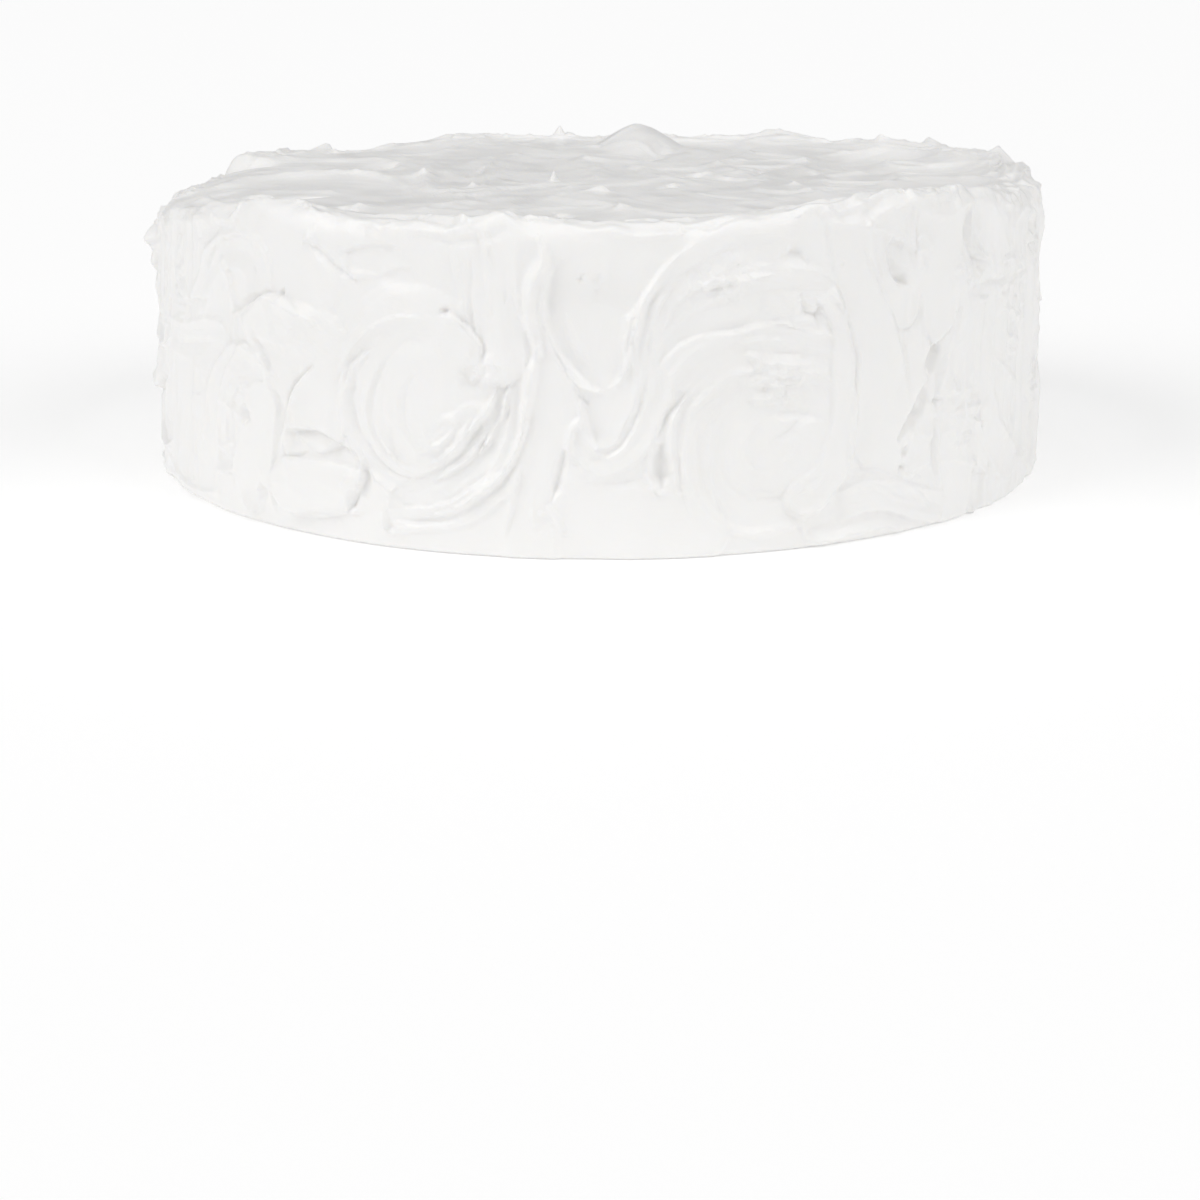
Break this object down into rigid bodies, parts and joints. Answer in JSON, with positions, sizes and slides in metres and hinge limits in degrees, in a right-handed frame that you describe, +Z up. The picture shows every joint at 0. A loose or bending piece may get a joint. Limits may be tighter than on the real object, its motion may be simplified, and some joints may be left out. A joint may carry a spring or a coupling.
{
  "type": "frosted cake",
  "caption": "Round layer cake, whole and uncut, thickly covered in white buttercream spread in swirls, tongues and ridges with a palette knife.",
  "frame": {"origin": "middle of the cake's flat base, on the surface that it stands on", "axes": "+Z up through the middle of the cake; -Y towards a viewer who sees the side that the picture shows; +X to that viewer's right"},
  "size_m": [0.2803, 0.2757, 0.0938],
  "materials": {
    "buttercream": "satin, soft and slightly see-through, with fine knife marks"
  },
  "bodies": {
    "root": {"frosted_cake": "buttercream"}
  },
  "joints": []
}
